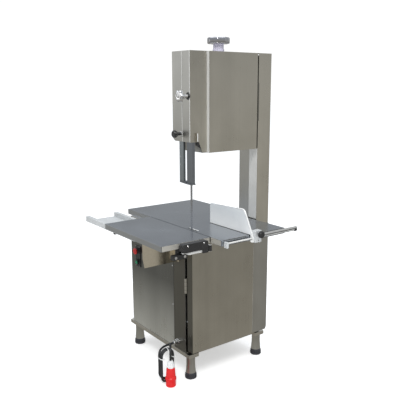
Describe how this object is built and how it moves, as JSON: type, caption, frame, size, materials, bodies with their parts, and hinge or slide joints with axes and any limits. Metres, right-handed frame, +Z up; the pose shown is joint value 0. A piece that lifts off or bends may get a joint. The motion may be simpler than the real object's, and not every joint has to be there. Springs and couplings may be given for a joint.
{
  "type": "bone saw",
  "caption": "Floor-standing stainless band saw for bones and frozen meat, with a sliding table, a fixed table, a portion gauge, a height-adjustable blade guide and a tied mains lead.",
  "frame": {"origin": "middle of the footprint on the floor", "axes": "+Z up, +Y from the operator's side to the rear, +X from the cutting run of the blade towards the column"},
  "size_m": [0.819, 0.98, 1.829],
  "materials": {
    "stainless_sheet": "satin",
    "stainless_frame": "satin",
    "polished_steel": "polished",
    "blade_steel": "ground",
    "wheel_metal": "machined",
    "black_plastic": "matte",
    "white_plastic": "matte",
    "red_plastic": "gloss",
    "green_plastic": "gloss",
    "foot_rubber": "matte",
    "cord_rubber": "matte",
    "motor_paint": "satin"
  },
  "bodies": {
    "machine_frame": {"base_frame": "stainless_frame", "cabinet_body": "stainless_sheet", "cabinet_hinge_pin": "stainless_sheet", "cable_gland": "polished_steel", "carriage_guide": "stainless_sheet", "column_cover": "stainless_sheet", "column_tube": "stainless_frame", "cord_hank": "cord_rubber", "fixed_table": "stainless_sheet", "gauge_rod_lower": "polished_steel", "left_side_panel": "stainless_sheet", "leg_tube_front_left": "stainless_frame", "leg_tube_front_right": "stainless_frame", "leg_tube_rear_left": "stainless_frame", "leg_tube_rear_right": "stainless_frame", "lower_guide": "white_plastic", "motor": "motor_paint", "motor_mount": "wheel_metal", "plug_body": "red_plastic", "plug_gland": "white_plastic", "plug_lead": "cord_rubber", "power_cord": "cord_rubber", "rail_bracket": "stainless_sheet", "rail_frame": "stainless_sheet", "rod_end_bracket": "stainless_sheet", "rubber_foot_front_left": "foot_rubber", "rubber_foot_front_right": "foot_rubber", "rubber_foot_rear_left": "foot_rubber", "rubber_foot_rear_right": "foot_rubber", "saw_blade": "blade_steel", "switch_bezel": "black_plastic", "tension_collar": "white_plastic", "upper_hinge_pin": "stainless_sheet", "upper_housing": "stainless_sheet"},
    "cabinet_door": {"cabinet_door": "stainless_sheet", "cabinet_hinge_sleeve": "stainless_sheet"},
    "upper_door": {"upper_door": "stainless_sheet", "upper_hinge_sleeve": "stainless_sheet"},
    "lower_wheel": {"lower_wheel": "wheel_metal", "drive_shaft": "polished_steel"},
    "wheel_carriage": {"wheel_carriage": "wheel_metal", "upper_axle": "polished_steel"},
    "upper_wheel": {"upper_wheel": "wheel_metal"},
    "tension_knob": {"tension_knob": "polished_steel", "tension_screw": "polished_steel"},
    "blade_guide": {"guide_post": "stainless_sheet", "blade_guard": "stainless_sheet", "guide_bracket": "stainless_sheet"},
    "guide_clamp_knob": {"guide_clamp_knob": "black_plastic"},
    "door_lock_knob": {"door_lock_knob": "polished_steel"},
    "sliding_table": {"sliding_table": "stainless_sheet", "table_grip": "black_plastic", "grip_bar": "polished_steel", "table_slide_block": "black_plastic"},
    "gauge": {"gauge_plate": "polished_steel", "gauge_carrier": "stainless_sheet", "gauge_rod_upper": "stainless_sheet"},
    "gauge_lock_knob": {"gauge_lock_knob": "black_plastic"},
    "stop_button": {"stop_button": "red_plastic"},
    "start_button": {"start_button": "green_plastic"}
  },
  "joints": [
    {"name": "cabinet_door_hinge", "type": "hinge", "parent": "machine_frame", "child": "cabinet_door", "pos_m": [-0.1355, -0.142, 0.5425], "axis": [0, 0, -1], "range_deg": [0, 90]},
    {"name": "upper_door_hinge", "type": "hinge", "parent": "machine_frame", "child": "upper_door", "pos_m": [0.308, -0.197, 1.5], "axis": [0, 0, 1], "range_deg": [0, 110]},
    {"name": "lower_wheel_spin", "type": "hinge", "parent": "machine_frame", "child": "lower_wheel", "pos_m": [0.111, -0.145, 0.5], "axis": [0, -1, 0], "continuous": true},
    {"name": "carriage_slide", "type": "slide", "parent": "machine_frame", "child": "wheel_carriage", "axis": [0, 0, -1], "range_m": [0, 0.015]},
    {"name": "upper_wheel_spin", "type": "hinge", "parent": "wheel_carriage", "child": "upper_wheel", "pos_m": [0.111, -0.145, 1.5], "axis": [0, -1, 0], "continuous": true},
    {"name": "tension_turn", "type": "hinge", "parent": "machine_frame", "child": "tension_knob", "pos_m": [0.111, -0.102, 1.796], "axis": [0, 0, 1], "range_deg": [0, 1800]},
    {"name": "guide_slide", "type": "slide", "parent": "machine_frame", "child": "blade_guide", "axis": [0, 0, 1], "range_m": [-0.19, 0.095]},
    {"name": "guide_clamp_turn", "type": "hinge", "parent": "machine_frame", "child": "guide_clamp_knob", "pos_m": [-0.1245, -0.088, 1.345], "axis": [-1, 0, 0], "range_deg": [0, 360]},
    {"name": "door_lock_turn", "type": "hinge", "parent": "machine_frame", "child": "door_lock_knob", "pos_m": [-0.1245, -0.159, 1.535], "axis": [-1, 0, 0], "range_deg": [0, 360]},
    {"name": "sliding_table_slide", "type": "slide", "parent": "machine_frame", "child": "sliding_table", "axis": [0, 1, 0], "range_m": [0, 0.24]},
    {"name": "gauge_slide", "type": "slide", "parent": "machine_frame", "child": "gauge", "axis": [1, 0, 0], "range_m": [-0.12, 0.12]},
    {"name": "gauge_lock_turn", "type": "hinge", "parent": "gauge", "child": "gauge_lock_knob", "pos_m": [0.0895, -0.475, 0.859], "axis": [0, -1, 0], "range_deg": [0, 360]},
    {"name": "stop_press", "type": "slide", "parent": "machine_frame", "child": "stop_button", "axis": [1, 0, 0], "range_m": [0, 0.004], "stiffness_N_per_m": 900, "springref_m": -0.002},
    {"name": "start_press", "type": "slide", "parent": "machine_frame", "child": "start_button", "axis": [1, 0, 0], "range_m": [0, 0.003], "stiffness_N_per_m": 900, "springref_m": -0.002}
  ],
  "couplings": [
    {"joint": "upper_wheel_spin", "follows": "lower_wheel_spin", "ratio": 1},
    {"joint": "carriage_slide", "follows": "tension_turn", "m_per_rad": 0.00047746}
  ]
}
